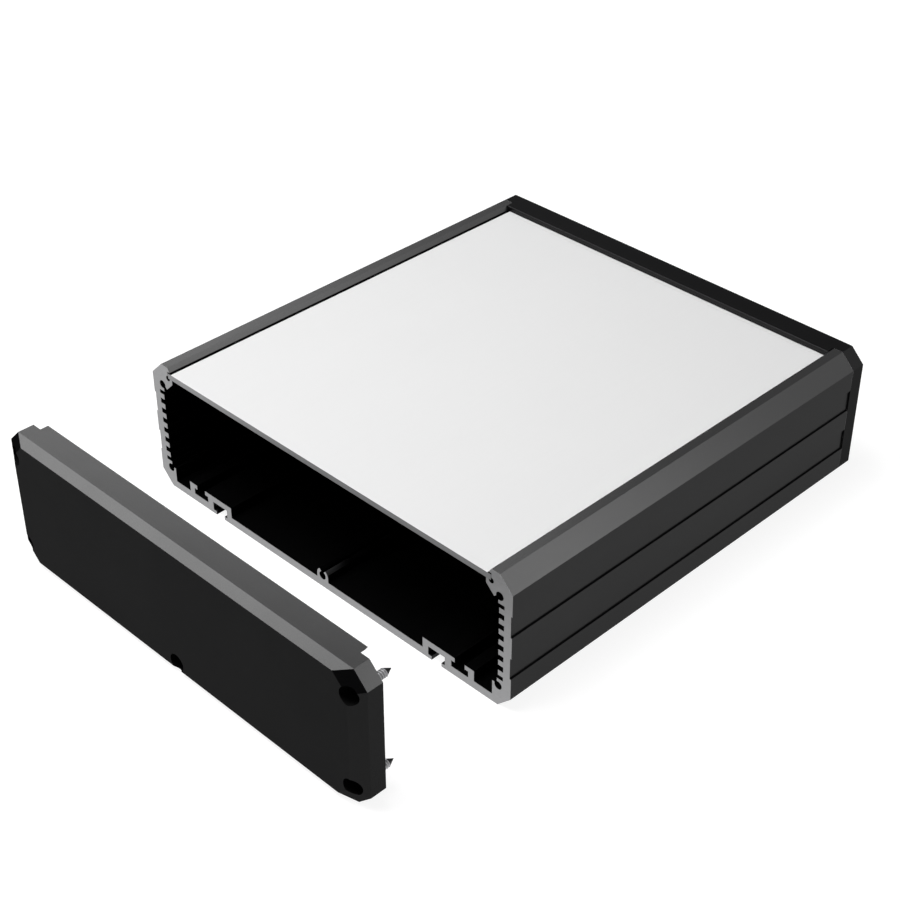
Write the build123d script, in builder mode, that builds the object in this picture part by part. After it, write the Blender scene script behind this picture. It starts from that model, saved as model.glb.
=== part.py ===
from build123d import *
import math
import os

os.makedirs("parts", exist_ok=True)

# Extruded case: millimetres, Z up, the open front end towards -Y,
# origin in the middle of the underside.
body_width = 167.5
body_length = 167.5
side_flat = 40.0
corner_chamfer = 5.2
floor_thickness = 2.9
side_wall = 3.15
strip_count = 5
strip_recess = 0.5

# Card guides on the inside of both side walls.
guide_depth = 2.1
guide_pitch = 4.0
guide_slot = 2.0
end_slot = 1.5
end_rib = 1.1
end_rib_reach = 0.4

# Rails that hold the cover.
rail_width = 8.6
lip_thickness = 1.6
lip_reach = 1.1
ledge_reach = 2.1
ledge_thickness = 1.35
groove_relief = 1.0

# Sliding cover and the play around it.
cover_thickness = 2.0
cover_side_play = 0.15
cover_top_play = 0.6
cover_seat_play = 0.05

# Screw channels in the corners and in the boss on the floor.
channel_diameter = 3.0
channel_wall = 0.9
channel_mouth = 1.5
channel_inset = 5.1
low_channel_height = 7.8
top_channel_drop = 8.15
hook_rise = 0.6
boss_lift = 0.2
boss_wall = 1.15
boss_throat = 1.2
boss_funnel = 3.1

# Nut slots under and over the floor.
nut_slot_inset = 31.25
nut_slot_mouth = 4.3
nut_slot_width = 7.25
nut_slot_wall = 2.45
middle_wall = 2.8
outer_lip = 1.4
outer_slot_height = 3.25
slot_roof = 2.3
inner_lip = 1.7

# End caps: the front one is taken off and stands in front of the case.
cap_gap = 50.7
cap_band = 5.75
cap_bevel_depth = 3.05
cap_bevel_top = 2.1
cap_bevel_side = 5.2
cap_face_chamfer = 5.5
tongue_length = 3.1
tongue_side_play = 0.4
tongue_cover_play = 0.15
tongue_round = 0.3

# Self-tapping screws.
screw_play = 0.1
screw_reach = 7.75
screw_tip = 2.65
head_diameter = 5.6
head_height = 2.1
head_seat = 1.75
counterbore_play = 0.3
shank_hole_play = 0.3
cross_length = 2.8
cross_width = 0.7
cross_depth = 1.2

# Sizes that follow from the ones above.
half_width = body_width / 2
body_height = side_flat + 2 * corner_chamfer
strip_height = side_flat / strip_count
slot_x = half_width - side_wall
rib_x = slot_x - guide_depth
groove_x = half_width - rail_width
lip_z = body_height - lip_thickness
ledge_x = groove_x - ledge_reach
ledge_z = lip_z - cover_top_play - cover_thickness - cover_seat_play
cover_z = ledge_z + cover_seat_play

channel_radius = channel_diameter / 2
channel_x = half_width - channel_inset
top_channel_z = body_height - top_channel_drop
hook_radius = channel_radius + channel_wall
web_sum = min(
    ledge_x + ledge_z - ledge_thickness,
    channel_x + top_channel_z - hook_radius * math.sqrt(2),
)
hook_drop = (channel_x + top_channel_z - web_sum) / 2
boss_radius = channel_radius + boss_wall
boss_z = floor_thickness + channel_radius + boss_lift
throat_z = boss_z + math.sqrt(channel_radius**2 - (boss_throat / 2) ** 2)

rib = guide_pitch - guide_slot
guide_low = low_channel_height + channel_radius + end_rib
guide_top = top_channel_z - channel_radius - end_rib
guide_middle = (guide_low + guide_top) / 2
guide_count = int((guide_top - guide_low - 2 * end_slot - rib) / guide_pitch)
end_slot_start = (guide_count * guide_pitch + rib) / 2
end_rib_x = rib_x - end_rib_reach

outer_slot_x = half_width - nut_slot_inset
inner_slot_x = outer_slot_x + nut_slot_width + middle_wall
ridge_start = outer_slot_x - nut_slot_width / 2 - nut_slot_wall
ridge_end = inner_slot_x + nut_slot_width / 2 + nut_slot_wall
ridge_z = outer_lip + outer_slot_height + slot_roof

cap_depth = cap_band + cap_bevel_depth
tongue_z = cover_z + cover_thickness + tongue_cover_play
tongue_half = groove_x - tongue_side_play
tongue_slope = lip_reach / lip_thickness
tongue_low_half = tongue_half - tongue_slope * (body_height - tongue_z)
screw_radius = channel_radius - screw_play
screw_length = head_seat + screw_reach

# The case: the right half of its section is drawn and mirrored.
with BuildPart() as enclosure_body:
    with BuildSketch(Plane.XZ) as section:
        Rectangle(half_width, body_height, align=(Align.MIN, Align.MIN))
        chamfer(section.vertices().group_by(Axis.X)[-1], corner_chamfer)
        for strip in range(1, strip_count, 2):
            with Locations((half_width, corner_chamfer + strip * strip_height)):
                Rectangle(
                    2 * strip_recess,
                    strip_height,
                    align=(Align.CENTER, Align.MIN),
                    mode=Mode.SUBTRACT,
                )
        # Inside of the case, cover groove and the opening between the lips.
        with Locations((0, floor_thickness)):
            Rectangle(
                rib_x,
                ledge_z - floor_thickness,
                align=(Align.MIN, Align.MIN),
                mode=Mode.SUBTRACT,
            )
        with Locations((0, ledge_z)):
            Rectangle(
                groove_x,
                lip_z - ledge_z,
                align=(Align.MIN, Align.MIN),
                mode=Mode.SUBTRACT,
            )
        with BuildLine():
            Polyline(
                (0, lip_z),
                (groove_x - lip_reach, lip_z),
                (groove_x, body_height),
                (0, body_height),
                close=True,
            )
        make_face(mode=Mode.SUBTRACT)
        # Ledge and the slanting web that carries the top screw channel.
        with BuildLine():
            Polyline(
                (ledge_x, ledge_z),
                (ledge_x, web_sum - ledge_x),
                (channel_x - hook_drop, top_channel_z - hook_drop),
                (channel_x, top_channel_z),
                (slot_x, top_channel_z),
                (slot_x, ledge_z),
                close=True,
            )
        make_face()
        # Bottom corner with its screw channel.
        with Locations((channel_x - hook_radius, floor_thickness)):
            Rectangle(
                hook_radius + channel_inset - side_wall,
                low_channel_height + hook_rise - floor_thickness,
                align=(Align.MIN, Align.MIN),
            )
        # End ribs between the channels and the card guides.
        with Locations((end_rib_x, low_channel_height)):
            Rectangle(
                slot_x - end_rib_x,
                guide_middle - end_slot_start - end_slot - low_channel_height,
                align=(Align.MIN, Align.MIN),
            )
        with Locations((end_rib_x, top_channel_z)):
            Rectangle(
                slot_x - end_rib_x,
                top_channel_z - guide_middle - end_slot_start - end_slot,
                align=(Align.MIN, Align.MAX),
            )
        # Nut slots: one ridge holds both.
        with Locations((ridge_start, 0)):
            Rectangle(ridge_end - ridge_start, ridge_z, align=(Align.MIN, Align.MIN))
        with Locations((inner_slot_x, floor_thickness)):
            Rectangle(
                nut_slot_width,
                ridge_z - inner_lip - floor_thickness,
                align=(Align.CENTER, Align.MIN),
                mode=Mode.SUBTRACT,
            )
            Rectangle(
                nut_slot_mouth,
                ridge_z - floor_thickness,
                align=(Align.CENTER, Align.MIN),
                mode=Mode.SUBTRACT,
            )
        with Locations((outer_slot_x, outer_lip)):
            Rectangle(
                nut_slot_width,
                outer_slot_height,
                align=(Align.CENTER, Align.MIN),
                mode=Mode.SUBTRACT,
            )
            Rectangle(
                nut_slot_mouth,
                outer_lip,
                align=(Align.CENTER, Align.MAX),
                mode=Mode.SUBTRACT,
            )
        # Boss on the middle of the floor.
        with Locations((0, boss_z)):
            Circle(boss_radius)
            Rectangle(
                2 * boss_radius,
                boss_z - floor_thickness,
                align=(Align.CENTER, Align.MAX),
            )
        with BuildLine():
            Polyline(
                (-boss_throat / 2, boss_z),
                (boss_throat / 2, boss_z),
                (boss_throat / 2, throat_z),
                (boss_funnel / 2, boss_z + boss_radius),
                (-boss_funnel / 2, boss_z + boss_radius),
                (-boss_throat / 2, throat_z),
                close=True,
            )
        make_face(mode=Mode.SUBTRACT)
        # Screw channels, the mouths of the corner ones, and the groove's relief.
        with Locations(
            (0, boss_z), (channel_x, low_channel_height), (channel_x, top_channel_z)
        ):
            Circle(channel_radius, mode=Mode.SUBTRACT)
        for channel_z, turn in ((low_channel_height, -45), (top_channel_z, 45)):
            with Locations((channel_x, channel_z)):
                Rectangle(
                    2 * hook_radius,
                    channel_mouth,
                    rotation=turn,
                    align=(Align.MAX, Align.CENTER),
                    mode=Mode.SUBTRACT,
                )
        with Locations((groove_x, ledge_z)):
            Circle(groove_relief, mode=Mode.SUBTRACT)
        # Card guides with a narrower slot at each end.
        with Locations((slot_x, guide_middle)):
            with GridLocations(0, guide_pitch, 1, guide_count):
                Rectangle(
                    guide_depth,
                    guide_slot,
                    align=(Align.MAX, Align.CENTER),
                    mode=Mode.SUBTRACT,
                )
        with Locations((slot_x, guide_middle + end_slot_start)):
            Rectangle(
                guide_depth + end_rib_reach,
                end_slot,
                align=(Align.MAX, Align.MIN),
                mode=Mode.SUBTRACT,
            )
        with Locations((slot_x, guide_middle - end_slot_start)):
            Rectangle(
                guide_depth + end_rib_reach,
                end_slot,
                align=(Align.MAX, Align.MAX),
                mode=Mode.SUBTRACT,
            )
        mirror(about=Plane.YZ)
    extrude(amount=body_length / 2, both=True)
enclosure_body.part.label = "enclosure_body"
export_step(enclosure_body.part, "parts/enclosure_body.step")

# Cover plate, as long as the case.
with BuildPart() as top_cover:
    with BuildSketch(Plane.XZ):
        with Locations((0, cover_z)):
            Rectangle(
                2 * (groove_x - cover_side_play),
                cover_thickness,
                align=(Align.CENTER, Align.MIN),
            )
    extrude(amount=body_length / 2, both=True)
top_cover.part.label = "top_cover"
export_step(top_cover.part, "parts/top_cover.step")

# Where each cap's back face lies, seen from outside with Z upwards.
cap_seats = {
    "front": Plane((0, -body_length / 2 - cap_gap, 0), x_dir=(1, 0, 0), z_dir=(0, -1, 0)),
    "rear": Plane((0, body_length / 2, 0), x_dir=(-1, 0, 0), z_dir=(0, 1, 0)),
}
screw_points = {
    "top_left": (-channel_x, top_channel_z),
    "top_right": (channel_x, top_channel_z),
    "bottom_left": (-channel_x, low_channel_height),
    "bottom_right": (channel_x, low_channel_height),
    "bottom_middle": (0, boss_z),
}

for end, seat in cap_seats.items():
    face = seat.offset(cap_depth)
    with BuildPart() as end_cap:
        with BuildSketch(seat) as outline:
            Rectangle(body_width, body_height, align=(Align.CENTER, Align.MIN))
            chamfer(outline.vertices(), corner_chamfer)
        extrude(amount=cap_band)
        # Bevel from the band to the smaller front face.
        with BuildSketch(seat.offset(cap_band)) as bevel_back:
            Rectangle(body_width, body_height, align=(Align.CENTER, Align.MIN))
            chamfer(bevel_back.vertices(), corner_chamfer)
        with BuildSketch(face) as bevel_front:
            with Locations((0, cap_bevel_top)):
                Rectangle(
                    body_width - 2 * cap_bevel_side,
                    body_height - 2 * cap_bevel_top,
                    align=(Align.CENTER, Align.MIN),
                )
            chamfer(bevel_front.vertices(), cap_face_chamfer)
        loft(ruled=True)
        # Tongue that lies over the end of the cover.
        with BuildSketch(seat):
            with BuildLine():
                Polyline(
                    (-tongue_low_half, tongue_z),
                    (tongue_low_half, tongue_z),
                    (tongue_half, body_height),
                    (-tongue_half, body_height),
                    close=True,
                )
            make_face()
        extrude(amount=-tongue_length)
        tip = seat.from_local_coords((0, body_height, -tongue_length))
        fillet(end_cap.edges().filter_by(Axis.X).sort_by_distance(tip)[0], tongue_round)
        with Locations(face):
            with Locations(*screw_points.values()):
                CounterBoreHole(
                    radius=screw_radius + shank_hole_play,
                    counter_bore_radius=head_diameter / 2 + counterbore_play,
                    counter_bore_depth=cap_depth - head_seat,
                )
    end_cap.part.label = f"{end}_end_cap"
    export_step(end_cap.part, f"parts/{end}_end_cap.step")

    for place, (across, height) in screw_points.items():
        centre = seat.from_local_coords((across * seat.x_dir.X, height, head_seat))
        profile = Plane(centre, x_dir=seat.x_dir, z_dir=-seat.y_dir)
        with BuildPart() as screw:
            with BuildSketch(profile):
                with BuildLine():
                    Polyline(
                        (0, head_height),
                        (head_diameter / 2, head_height),
                        (head_diameter / 2, 0),
                        (screw_radius, 0),
                        (screw_radius, screw_tip - screw_length),
                        (0, -screw_length),
                        close=True,
                    )
                make_face()
            revolve(axis=Axis(centre, seat.z_dir))
            # Cross recess for the driver.
            top = centre + seat.z_dir * head_height
            with BuildSketch(Plane(top, x_dir=seat.x_dir, z_dir=seat.z_dir)):
                Rectangle(cross_length, cross_width)
                Rectangle(cross_width, cross_length)
            extrude(amount=-cross_depth, mode=Mode.SUBTRACT)
        screw.part.label = f"{end}_screw_{place}"
        export_step(screw.part, f"parts/{end}_screw_{place}.step")
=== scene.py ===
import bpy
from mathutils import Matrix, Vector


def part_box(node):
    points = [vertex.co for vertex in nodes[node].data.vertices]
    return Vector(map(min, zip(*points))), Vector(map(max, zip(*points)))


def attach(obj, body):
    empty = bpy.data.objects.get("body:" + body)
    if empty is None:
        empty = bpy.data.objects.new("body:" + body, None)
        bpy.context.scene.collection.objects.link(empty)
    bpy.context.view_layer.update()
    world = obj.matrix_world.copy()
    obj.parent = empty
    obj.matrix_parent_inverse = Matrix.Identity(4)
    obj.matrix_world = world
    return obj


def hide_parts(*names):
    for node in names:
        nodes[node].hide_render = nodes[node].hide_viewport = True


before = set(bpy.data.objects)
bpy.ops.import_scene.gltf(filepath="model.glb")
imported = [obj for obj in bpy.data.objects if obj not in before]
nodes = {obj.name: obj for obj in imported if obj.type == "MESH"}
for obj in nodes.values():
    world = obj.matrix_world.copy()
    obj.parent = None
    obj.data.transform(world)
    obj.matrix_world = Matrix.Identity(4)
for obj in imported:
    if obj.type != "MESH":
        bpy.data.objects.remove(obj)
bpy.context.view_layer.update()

import math

import bmesh
import bpy
from mathutils import Matrix, Vector

scene = bpy.context.scene
print("frame loaded:", len(nodes), "nodes")


# a shader socket that takes plain maths
class Socket:
    def __init__(self, tree, link):
        self.tree = tree
        self.link = link

    # any node: its settings go first, then the values or links of its sockets
    def node(self, kind, settings, inputs, out=0):
        made = self.tree.nodes.new(kind)
        for name, value in settings.items():
            setattr(made, name, value)
        feed(made, inputs)
        return Socket(self.tree, made.outputs[out])

    def maths(self, operation, first, second):
        return self.node("ShaderNodeMath", {"operation": operation}, {0: first, 1: second})

    def __add__(self, other):
        return self.maths("ADD", self, other)

    def __radd__(self, other):
        return self.maths("ADD", other, self)

    def __sub__(self, other):
        return self.maths("SUBTRACT", self, other)

    def __rsub__(self, other):
        return self.maths("SUBTRACT", other, self)

    def __mul__(self, other):
        return self.maths("MULTIPLY", self, other)

    def __rmul__(self, other):
        return self.maths("MULTIPLY", other, self)

    def __gt__(self, other):
        return self.maths("GREATER_THAN", self, other)

    def __lt__(self, other):
        return self.maths("LESS_THAN", self, other)

    def __abs__(self):
        return self.maths("ABSOLUTE", self, 0.0)


def feed(node, inputs):
    for name, value in inputs.items():
        if isinstance(value, Socket):
            value.tree.links.new(value.link, node.inputs[name])
        else:
            node.inputs[name].default_value = value


def newFinish(name):
    finish = bpy.data.materials.new(name)
    finish.use_nodes = True
    tree = finish.node_tree
    where = Socket(tree, tree.nodes.new("ShaderNodeTexCoord").outputs["Object"])
    return finish, tree.nodes["Principled BSDF"], where


def axisOf(vector, axis):
    return vector.node("ShaderNodeSeparateXYZ", {}, {"Vector": vector}, axis)


def facingOf(where):
    return where.node("ShaderNodeNewGeometry", {}, {}, "True Normal")


def noiseAt(where, scale, detail=2.0, roughness=0.5):
    # scale is per metre along x, y and z
    placed = where.node("ShaderNodeMapping", {}, {"Vector": where, "Scale": scale})
    return where.node("ShaderNodeTexNoise", {}, {
        "Vector": placed, "Scale": 1.0, "Detail": detail, "Roughness": roughness,
    })


def mottle(fine, cloud, fineShare):
    return fineShare * fine + (1 - fineShare) * cloud


def smoothRange(value, start, end, atStart, atEnd):
    return value.node("ShaderNodeMapRange", {"interpolation_type": "SMOOTHSTEP"}, {
        "Value": value, "From Min": start, "From Max": end, "To Min": atStart, "To Max": atEnd,
    })


def mixColour(where, share, first, second):
    return where.node("ShaderNodeMix", {"data_type": "RGBA"}, {0: share, 6: first, 7: second}, 2)


def bumpFrom(height, look):
    return height.node("ShaderNodeBump", {}, {
        "Strength": look["bump"], "Distance": look["bumpDepth"], "Height": height,
    })


# satin sheen of the black parts, with the limits that sort faces by their outward normal; its strength by
# facing is partly the real satin and partly painted sheen that stands in for how the light falls
satin = {
    "roughness": 0.264,
    "ior": 2.2,
    "least": 0.92,
    "cloudShare": 0.16,
    "square": 0.9,  # looks straight up, forward or back
    "steep": 0.75,  # narrow edges lie above this, chamfers below
    "slant": 0.5,  # chamfers lie above this, walls below
    "wall": 0.55,  # looks sideways at least this far
    "corner": 0.4,  # looks both sideways and forward or back
    "level": 0.2,  # upright faces look up or down less than this
}


def sheenByFacing(where, look):
    # how much sheen each face carries, from the way it looks: more on faces that catch the light, painted
    # sheen
    facing = facingOf(where)
    nx, ny, nz = (axisOf(facing, axis) for axis in "XYZ")
    x = axisOf(where, "X")
    up = nz > satin["square"]
    # walls that face the middle get no side sheen: painted shade
    outward = x * nx > 0  # not the walls that face the middle
    groups = {
        "up": up,
        "edge": (nz > satin["steep"]) * (1 - up),
        "chamfer": (nz > satin["slant"]) * (nz < satin["steep"]),
        "side": (abs(nx) > satin["wall"]) * (nz < satin["slant"]) * outward,
        "bevel": (abs(nx * ny) > satin["corner"]) * (abs(nz) < satin["level"]),
        "low": (ny < -satin["slant"]) * (nz < -satin["level"]),
        "front": ny < -satin["square"],
        "back": ny > satin["square"],
    }
    return sum(look[name] * group for name, group in groups.items())


def satinCoat(weight, cloud):
    return {
        "Coat Weight": weight * (satin["least"] + satin["cloudShare"] * cloud),
        "Coat Roughness": satin["roughness"],
        "Coat IOR": satin["ior"],
    }


# black anodised case with bare sawn ends; the inside is coloured far darker than the outside, painted shade
anodised = {
    "black": (0.0060, 0.0060, 0.0064, 1),
    "blackPale": (0.0090, 0.0090, 0.0096, 1),
    "lineShare": 0.5,
    "dieLines": {"scale": (1500, 5, 1500), "detail": 3.0},
    "cloud": {"scale": (45, 20, 45), "detail": 4.0, "roughness": 0.6},
    "roughness": 0.40,
    "roughnessSpread": 0.06,
    "specular": 0.0,
    "bump": 0.12,
    "bumpDepth": 0.00002,
    "sheen": {
        "up": 0.172, "edge": 0.20, "chamfer": 0.355, "side": 0.168,
        "bevel": 0.15, "low": 0.10, "front": 0.10, "back": 0.10,
    },
    # painted shade: the inside's black, far darker than the same anodising outside
    "inside": (0.0012, 0.0012, 0.0013, 1),
    "insideSheen": 0.06,
    # the inside starts this far in from the case's box
    "insideWall": 0.00305,
    "insideFloor": 0.00285,
    "insideRoof": 0.0042,
    # painted light: a pale patch on the outer shoulder of the middle screw channel's mouth, fading over a
    # short way from the front end
    "paintedLight": (0.032, 0.032, 0.033, 1),
    "paintedLightFrom": 0.00005,
    "paintedLightTo": 0.01075,
    "paintedLightFacing": 0.4,
    "channelHalf": 0.0045,
    "channelHigh": 0.0105,
    "sawn": (0.340, 0.340, 0.345, 1),
    "sawnDark": (0.282, 0.282, 0.287, 1),
    "sawnSkin": 0.00002,  # depth of the cut face's finish
    "sawnRoughness": 0.44,
    "sawnSpread": 0.1,
    "sawLines": {"scale": (260, 1, 5200)},
    "sawDepth": 2.0,
}


def makeAnodised():
    finish, shader, where = newFinish("blackAnodised")
    low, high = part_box("enclosure_body")
    x, y, z = (axisOf(where, axis) for axis in "XYZ")
    facing = facingOf(where)
    nx, nz = (axisOf(facing, axis) for axis in "XZ")
    ends = abs(y) > high.y - anodised["sawnSkin"]
    between = abs(x) < high.x - anodised["insideWall"]
    above = z > low.z + anodised["insideFloor"]
    below = z < high.z - anodised["insideRoof"]
    outside = 1 - between * above * below
    lines = noiseAt(where, **anodised["dieLines"])
    cloud = noiseAt(where, **anodised["cloud"])
    saw = noiseAt(where, **anodised["sawLines"])

    # painted light on the channel's shoulder by the front end
    channel = (abs(x) < anodised["channelHalf"]) * (z < anodised["channelHigh"]) * (x > 0)
    shoulder = (nx > anodised["paintedLightFacing"]) * (nz > anodised["paintedLightFacing"])
    fade = smoothRange(y, low.y + anodised["paintedLightFrom"], low.y + anodised["paintedLightTo"], 1.0, 0.0)
    inner = mixColour(where, channel * shoulder * fade, anodised["inside"], anodised["paintedLight"])
    shade = mottle(lines, cloud, anodised["lineShare"])
    outer = mixColour(where, shade, anodised["black"], anodised["blackPale"])
    # painted shade and painted light inside, anodised black outside
    black = mixColour(where, outside, inner, outer)
    bare = mixColour(where, saw, anodised["sawn"], anodised["sawnDark"])

    blackRoughness = anodised["roughness"] + anodised["roughnessSpread"] * (lines + cloud)
    bareRoughness = anodised["sawnRoughness"] + anodised["sawnSpread"] * saw
    sheen = outside * sheenByFacing(where, anodised["sheen"]) + (1 - outside) * anodised["insideSheen"]
    height = lines * (1 - ends) + anodised["sawDepth"] * saw * ends
    feed(shader, {
        "Base Color": mixColour(where, ends, black, bare),
        "Roughness": blackRoughness * (1 - ends) + bareRoughness * ends,
        "Metallic": ends,
        "Specular IOR Level": anodised["specular"],
        "Normal": bumpFrom(height, anodised),
        **satinCoat(sheen * (1 - ends), cloud),
    })
    return finish


# pale cover plate, brushed along its length, with bare cut ends
plate = {
    "pale": (0.800, 0.800, 0.800, 1),
    "paleDark": (0.770, 0.770, 0.772, 1),
    "grainShare": 0.6,
    "grain": {"scale": (2600, 18, 2600), "detail": 3.0, "roughness": 0.6},
    "cloud": {"scale": (30, 22, 30), "detail": 3.0},
    "roughness": 0.46,
    "roughnessSpread": 0.08,
    "specular": 0.0,
    "bump": 0.1,
    "bumpDepth": 0.00001,
    "edge": (0.250, 0.250, 0.254, 1),
    "edgeSkin": 0.00002,  # depth of the cut face's finish
    "edgeRoughness": 0.42,
    # painted shadow: a near-black strip along both long edges, under the rails' lips
    "paintedShadow": (0.002, 0.002, 0.002, 1),
    "paintedShadowWidth": 0.00153,
}


def makePlate():
    finish, shader, where = newFinish("paleCover")
    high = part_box("top_cover")[1]
    edges = abs(axisOf(where, "Y")) > high.y - plate["edgeSkin"]
    paintedShadow = abs(axisOf(where, "X")) > high.x - plate["paintedShadowWidth"]  # painted shadow where the rails' lips shade the cover
    grain = noiseAt(where, **plate["grain"])
    cloud = noiseAt(where, **plate["cloud"])
    pale = mixColour(where, mottle(grain, cloud, plate["grainShare"]), plate["pale"], plate["paleDark"])
    face = mixColour(where, paintedShadow, pale, plate["paintedShadow"])
    faceRoughness = plate["roughness"] + plate["roughnessSpread"] * grain
    feed(shader, {
        "Base Color": mixColour(where, edges, face, plate["edge"]),
        "Roughness": faceRoughness * (1 - edges) + plate["edgeRoughness"] * edges,
        "Metallic": edges,
        "Specular IOR Level": plate["specular"],
        "Normal": bumpFrom(grain, plate),
    })
    return finish


# end caps: a satin front cap with a matt face, and a rear cap of the same black with far less sheen and
# more roughness, a shaded copy of the front cap's finish: painted shade
capBlack = {
    "frontCapBlack": {
        "black": (0.0045, 0.0045, 0.0048, 1),
        "blackPale": (0.0068, 0.0068, 0.0072, 1),
        "roughness": 0.40,
        "sheen": {
            "up": 0.171, "edge": 0.283, "chamfer": 0.358, "side": 0.093,
            "bevel": 0.088, "low": 0.065, "front": 0.062, "back": 0.062,
        },
    },
    "rearCapBlack": {
        "black": (0.0046, 0.0046, 0.0049, 1),
        "blackPale": (0.0070, 0.0070, 0.0074, 1),
        "roughness": 0.50,
        "sheen": {
            "up": 0.028, "edge": 0.03, "chamfer": 0.115, "side": 0.079,
            "bevel": 0.08, "low": 0.065, "front": 0.18, "back": 0.08,
        },
    },
    "grainShare": 0.5,
    "grain": {"scale": (3400, 3400, 3400)},
    "cloud": {"scale": (60, 60, 60), "detail": 4.0, "roughness": 0.6},
    "roughnessSpread": 0.06,
    "specular": 0.0,
    "bump": 0.1,
    "bumpDepth": 0.00004,
    "bore": (0.007, 0.007, 0.007, 1),
    "boreRadius": 0.00312,
}


def screwBores(where):
    # 1 inside the deep screw holes of an end cap
    flat = where.node("ShaderNodeVectorMath", {"operation": "MULTIPLY"}, {0: where, 1: (1, 0, 1)})
    bores = []
    for name in sorted(nodes):
        if name.startswith("front_screw_"):
            low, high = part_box(name)
            axis = ((low.x + high.x) / 2, 0, (low.z + high.z) / 2)
            reach = where.node(
                "ShaderNodeVectorMath", {"operation": "DISTANCE"}, {0: flat, 1: axis}, "Value"
            )
            bores.append(reach < capBlack["boreRadius"])
    return sum(bores)


def makeCapBlack(name):
    look = capBlack[name]
    finish, shader, where = newFinish(name)
    grain = noiseAt(where, **capBlack["grain"])
    cloud = noiseAt(where, **capBlack["cloud"])
    bores = screwBores(where)
    skin = mixColour(where, mottle(grain, cloud, capBlack["grainShare"]), look["black"], look["blackPale"])
    feed(shader, {
        "Base Color": mixColour(where, bores, skin, capBlack["bore"]),
        "Roughness": look["roughness"] + capBlack["roughnessSpread"] * (grain + cloud),
        "Specular IOR Level": capBlack["specular"],
        "Normal": bumpFrom(grain, capBlack),
        # the screw holes get no sheen: painted shade in the holes
        **satinCoat(sheenByFacing(where, look["sheen"]) * (1 - bores), cloud),
    })
    return finish


# screws: zinc plated threads, dark heads and points
screw = {
    "zincPlated": {
        "metal": (0.44, 0.44, 0.45, 1),
        "clouded": (0.34, 0.34, 0.35, 1),
        "cloud": {"scale": (900, 900, 900), "detail": 3.0, "roughness": 0.6},
        "roughness": 0.34,
        "roughnessSpread": 0.12,
    },
    "darkPoint": {
        "metal": (0.012, 0.012, 0.013, 1),
        "clouded": (0.020, 0.020, 0.021, 1),
        "cloud": {"scale": (1400, 1400, 1400)},
        "roughness": 0.35,
        "roughnessSpread": 0.15,
    },
    "pitch": 0.0008,
    "rootRadius": 0.00112,
    "crestRadius": 0.00147,
    "crestFrom": 0.42,  # shares of the pitch
    "crestTo": 0.58,
    "turnSteps": 20,
    "spareTurns": 2,
    "runOut": 1.5,  # turns past the shank's end, trimmed off
    "pointLength": 0.00265,
    "pointRadius": 0.00142,
    "pointTip": 0.00004,
    "pointSteps": 32,
    "headRadius": 0.0028,
    "headHeight": 0.0021,
    # the dome's points, as shares of the head's radius and height
    "headDome": ((0, 1), (0.45, 1), (0.72, 0.93), (0.9, 0.78), (0.98, 0.55), (1, 0.3)),
    "headEdge": 0.0001,
    "headSteps": 48,
    "headSink": 0.0001,  # the thread's reach into the head
    "crossLength": 0.0029,
    "crossWidth": 0.00066,
    "crossDepth": 0.0012,
    "crossTaper": (0.45, 0.7, 1),
    "weld": 1e-7,
    "threadWeld": 1e-6,
    "sharpAngle": 35,
}


def makeScrewMetal(name):
    look = screw[name]
    finish, shader, where = newFinish(name)
    cloud = noiseAt(where, **look["cloud"])
    feed(shader, {
        "Base Color": mixColour(where, cloud, look["metal"], look["clouded"]),
        "Roughness": look["roughness"] + look["roughnessSpread"] * cloud,
        "Metallic": 1.0,
    })
    return finish


def dress(name, finish):
    materials = nodes[name].data.materials
    materials.clear()
    materials.append(finish)


dress("enclosure_body", makeAnodised())
dress("top_cover", makePlate())
dress("front_end_cap", makeCapBlack("frontCapBlack"))
dress("rear_end_cap", makeCapBlack("rearCapBlack"))
zincFinish = makeScrewMetal("zincPlated")
pointFinish = makeScrewMetal("darkPoint")
print("finishes made:", len(bpy.data.materials))


def meshFrom(bm, name):
    mesh = bpy.data.meshes.new(name)
    bm.to_mesh(mesh)
    bm.free()
    return mesh


# one screw is made along +Z, with its head's seat at the origin
def headBlank():
    radius, height, edge = screw["headRadius"], screw["headHeight"], screw["headEdge"]
    profile = [(radius * out, height * up) for out, up in screw["headDome"]]
    profile += [(radius, edge), (radius - edge, 0), (0, 0)]
    bm = bmesh.new()
    rim = [bm.verts.new((out, 0, up)) for out, up in profile]
    edges = [bm.edges.new(pair) for pair in zip(rim, rim[1:])]
    bmesh.ops.spin(
        bm, geom=rim + edges, cent=(0, 0, 0), axis=(0, 0, 1), dvec=(0, 0, 0),
        angle=2 * math.pi, steps=screw["headSteps"], use_merge=True, use_duplicate=False,
    )
    bmesh.ops.remove_doubles(bm, verts=bm.verts, dist=screw["weld"])
    bmesh.ops.recalc_face_normals(bm, faces=bm.faces)
    return bpy.data.objects.new("headBlank", meshFrom(bm, "headBlank"))


def crossCutter():
    size = (screw["crossLength"], screw["crossWidth"], 2 * screw["crossDepth"])
    bm = bmesh.new()
    for turn in (0, math.pi / 2):
        bar = bmesh.ops.create_cube(bm, size=1.0)["verts"]
        low = [vert for vert in bar if vert.co.z < 0]
        bmesh.ops.scale(bm, vec=screw["crossTaper"], verts=low)  # the wings taper downwards
        bmesh.ops.scale(bm, vec=size, verts=bar)
        bmesh.ops.rotate(bm, cent=(0, 0, 0), matrix=Matrix.Rotation(turn, 3, "Z"), verts=bar)
        bmesh.ops.translate(bm, vec=(0, 0, screw["headHeight"]), verts=bar)
    return bpy.data.objects.new("crossCutter", meshFrom(bm, "crossCutter"))


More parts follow.
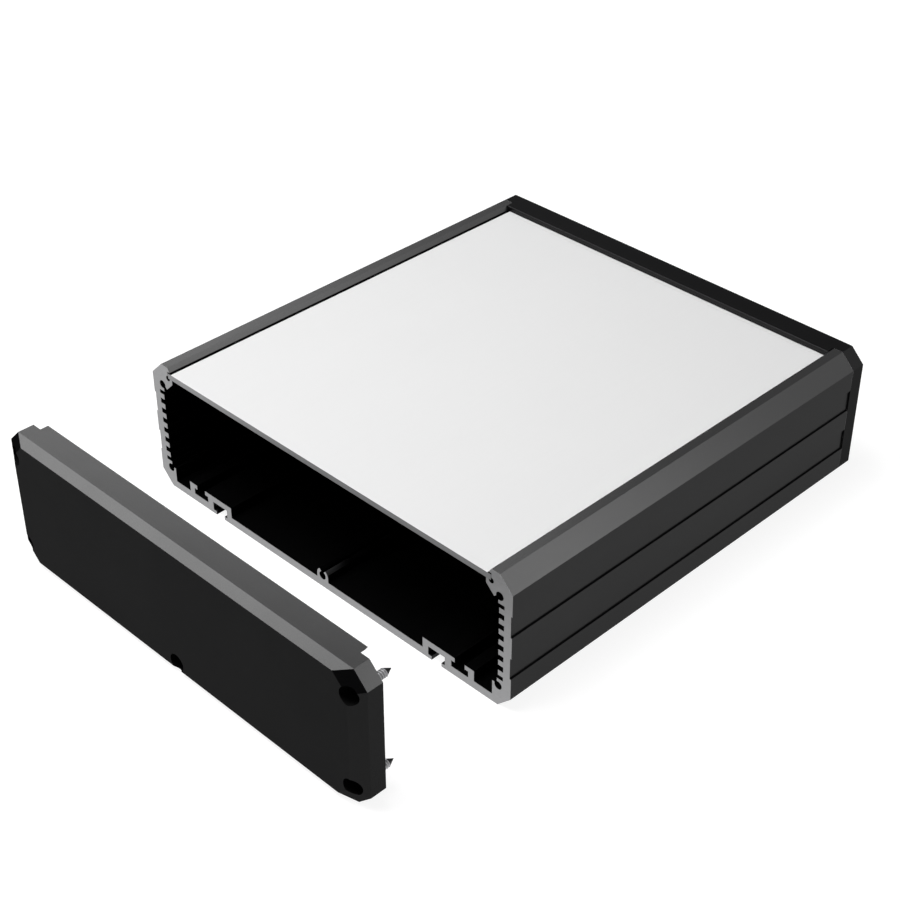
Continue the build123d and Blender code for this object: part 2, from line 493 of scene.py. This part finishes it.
def headMesh():
    head, cutter = headBlank(), crossCutter()
    for made in (head, cutter):
        scene.collection.objects.link(made)
    cut = head.modifiers.new("cross", "BOOLEAN")
    cut.object = cutter
    cut.operation = "DIFFERENCE"
    cut.solver = "EXACT"
    cut.use_self = True
    done = bpy.data.meshes.new_from_object(head.evaluated_get(bpy.context.evaluated_depsgraph_get()))
    for made in (head, cutter):
        bpy.data.objects.remove(made)
    return done


def addThread(bm, shank):
    pitch, root, crest = screw["pitch"], screw["rootRadius"], screw["crestRadius"]
    turns = math.ceil(shank / pitch) + screw["spareTurns"]
    profile = ((root, 0), (crest, screw["crestFrom"]), (crest, screw["crestTo"]), (root, 1))
    ridge = [bm.verts.new((radius, 0, part * pitch)) for radius, part in profile]
    edges = [bm.edges.new(pair) for pair in zip(ridge, ridge[1:])]
    bmesh.ops.translate(bm, vec=(0, 0, -shank - screw["runOut"] * pitch), verts=ridge)
    bmesh.ops.spin(
        bm, geom=ridge + edges, cent=(0, 0, 0), axis=(0, 0, 1), dvec=(0, 0, pitch / screw["turnSteps"]),
        angle=2 * math.pi * turns, steps=screw["turnSteps"] * turns, use_merge=False, use_duplicate=False,
    )
    bmesh.ops.remove_doubles(bm, verts=bm.verts, dist=screw["threadWeld"])
    for level, side in ((screw["headSink"], 1), (-shank, -1)):
        bmesh.ops.bisect_plane(
            bm, geom=bm.verts[:] + bm.edges[:] + bm.faces[:], dist=screw["weld"],
            plane_co=(0, 0, level), plane_no=(0, 0, side), clear_outer=True, clear_inner=False,
        )
    bmesh.ops.holes_fill(bm, edges=[edge for edge in bm.edges if edge.is_boundary], sides=0)
    bmesh.ops.recalc_face_normals(bm, faces=bm.faces)


def screwMesh(length):
    # length runs from the head's seat to the point
    shank = length - screw["pointLength"]
    bm = bmesh.new()
    addThread(bm, shank)
    threads = set(bm.faces)
    point = bmesh.ops.create_cone(
        bm, cap_ends=True, cap_tris=False, segments=screw["pointSteps"],
        radius1=screw["pointTip"], radius2=screw["pointRadius"], depth=screw["pointLength"],
    )["verts"]
    bmesh.ops.translate(bm, vec=(0, 0, -shank - screw["pointLength"] / 2), verts=point)
    bm.from_mesh(headMesh())
    for face in bm.faces:
        face.material_index = 0 if face in threads else 1
    mesh = meshFrom(bm, "screw")
    mesh.materials.append(zincFinish)
    mesh.materials.append(pointFinish)
    mesh.set_sharp_from_angle(angle=math.radians(screw["sharpAngle"]))
    mesh.polygons.foreach_set("use_smooth", [True] * len(mesh.polygons))
    return mesh


def placeScrews():
    low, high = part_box("front_screw_top_left")
    pattern = screwMesh(high.y - low.y - screw["headHeight"])
    turnOut = {"front": Matrix.Rotation(math.pi / 2, 4, "X"), "rear": Matrix.Rotation(-math.pi / 2, 4, "X")}
    bodyOf = {"front": "front_cap", "rear": "enclosure"}
    for name in sorted(nodes):
        if "_screw_" not in name:
            continue
        end = name.split("_")[0]
        low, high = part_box(name)
        middle = (low + high) / 2
        seat = low.y + screw["headHeight"] if end == "front" else high.y - screw["headHeight"]
        mesh = pattern.copy()
        mesh.transform(Matrix.Translation((middle.x, seat, middle.z)) @ turnOut[end])
        piece = bpy.data.objects.new("threaded_" + name, mesh)
        scene.collection.objects.link(piece)
        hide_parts(name)
        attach(piece, bodyOf[end])
    pattern.calc_loop_triangles()
    print("screws placed, triangles each:", len(pattern.loop_triangles))


placeScrews()


# studio: white floor, one lamp overhead, three low ones that only give sheen
studio = {
    "camera": (0.35218, -0.37752, 0.37738),
    "looksAlong": (-1, 1, -1),
    "lens": 72.56,
    "sensor": 36,
    "clipEnd": 50,
    "fill": 0.11,
    "floorHalf": 6.0,
    "floorPale": 0.25,
    "glowNear": 0.90,  # the floor's own white by the object and further out
    "glowFar": 1.0,
    "glowFrom": 0.20,  # distances from the middle
    "glowTo": 0.60,
    # lamps stand off from the aim, and lightsDull is off on those for sheen alone
    "aim": (0, -0.03, 0.03),
    "lamps": {
        "above": {
            "away": (-0.185, -0.250, 0.950), "distance": 0.82, "width": 0.45, "height": 0.45,
            "roll": 0, "watts": 7.05, "lightsDull": True,
        },
        "leftFront": {
            "away": (-0.722, -0.273, 0.636), "distance": 1.3, "width": 1.00, "height": 0.65,
            "roll": 0, "watts": 10.72, "lightsDull": False,
        },
        "leftBack": {
            "away": (-0.794, 0.333, 0.509), "distance": 1.3, "width": 1.174, "height": 0.25,
            "roll": -27, "watts": 6.1, "lightsDull": False,
        },
        "rightBack": {
            "away": (0.709, 0.497, 0.501), "distance": 1.3, "width": 0.399, "height": 0.25,
            "roll": 0, "watts": 1.0, "lightsDull": False,
        },
    },
}


def placeCamera():
    camera = bpy.data.objects.new("camera", bpy.data.cameras.new("camera"))
    camera.data.lens = studio["lens"]
    camera.data.sensor_width = studio["sensor"]
    camera.data.clip_end = studio["clipEnd"]
    camera.location = studio["camera"]
    camera.rotation_euler = Vector(studio["looksAlong"]).to_track_quat("-Z", "Y").to_euler()
    scene.collection.objects.link(camera)
    scene.camera = camera


def placeLamp(name, look):
    lamp = bpy.data.lights.new(name, "AREA")
    lamp.shape = "RECTANGLE"
    lamp.size = look["width"]
    lamp.size_y = look["height"]
    lamp.energy = look["watts"]
    holder = bpy.data.objects.new(name, lamp)
    away = Vector(look["away"]).normalized()
    holder.location = Vector(studio["aim"]) + away * look["distance"]
    roll = Matrix.Rotation(math.radians(look["roll"]), 3, "Z")
    holder.rotation_euler = ((-away).to_track_quat("-Z", "Y").to_matrix() @ roll).to_euler()
    holder.visible_camera = False
    holder.visible_diffuse = look["lightsDull"]
    scene.collection.objects.link(holder)


def seenRays(tree):
    # 1 for rays that show the white ground: straight, mirrored or through something clear
    path = tree.nodes.new("ShaderNodeLightPath")
    straight, mirrored, through = (
        Socket(tree, path.outputs[name])
        for name in ("Is Camera Ray", "Is Glossy Ray", "Is Transmission Ray")
    )
    return straight.maths("MAXIMUM", straight.maths("MAXIMUM", straight, mirrored), through)


def lightWorld():
    world = bpy.data.worlds.new("studio")
    world.use_nodes = True
    seen = seenRays(world.node_tree)
    feed(world.node_tree.nodes["Background"], {
        "Color": (1, 1, 1, 1),
        "Strength": seen + (1 - seen) * studio["fill"],
    })
    scene.world = world


def layFloor():
    bm = bmesh.new()
    bmesh.ops.create_grid(bm, x_segments=1, y_segments=1, size=studio["floorHalf"])
    floor = bpy.data.objects.new("floor", meshFrom(bm, "floor"))
    scene.collection.objects.link(floor)
    finish, shader, where = newFinish("paleFloor")
    reach = where.node("ShaderNodeVectorMath", {"operation": "LENGTH"}, {0: where}, "Value")
    glow = smoothRange(reach, studio["glowFrom"], studio["glowTo"], studio["glowNear"], studio["glowFar"])
    pale = studio["floorPale"]
    feed(shader, {
        "Base Color": (pale, pale, pale, 1),
        "Roughness": 1.0,
        "Specular IOR Level": 0.0,
        "Emission Color": seenRays(where.tree) * glow,
        "Emission Strength": 1.0,
    })
    floor.data.materials.append(finish)


placeCamera()
for lampName, lampLook in studio["lamps"].items():
    placeLamp(lampName, lampLook)
lightWorld()
layFloor()
scene.view_settings.view_transform = "Standard"
print("studio lit")
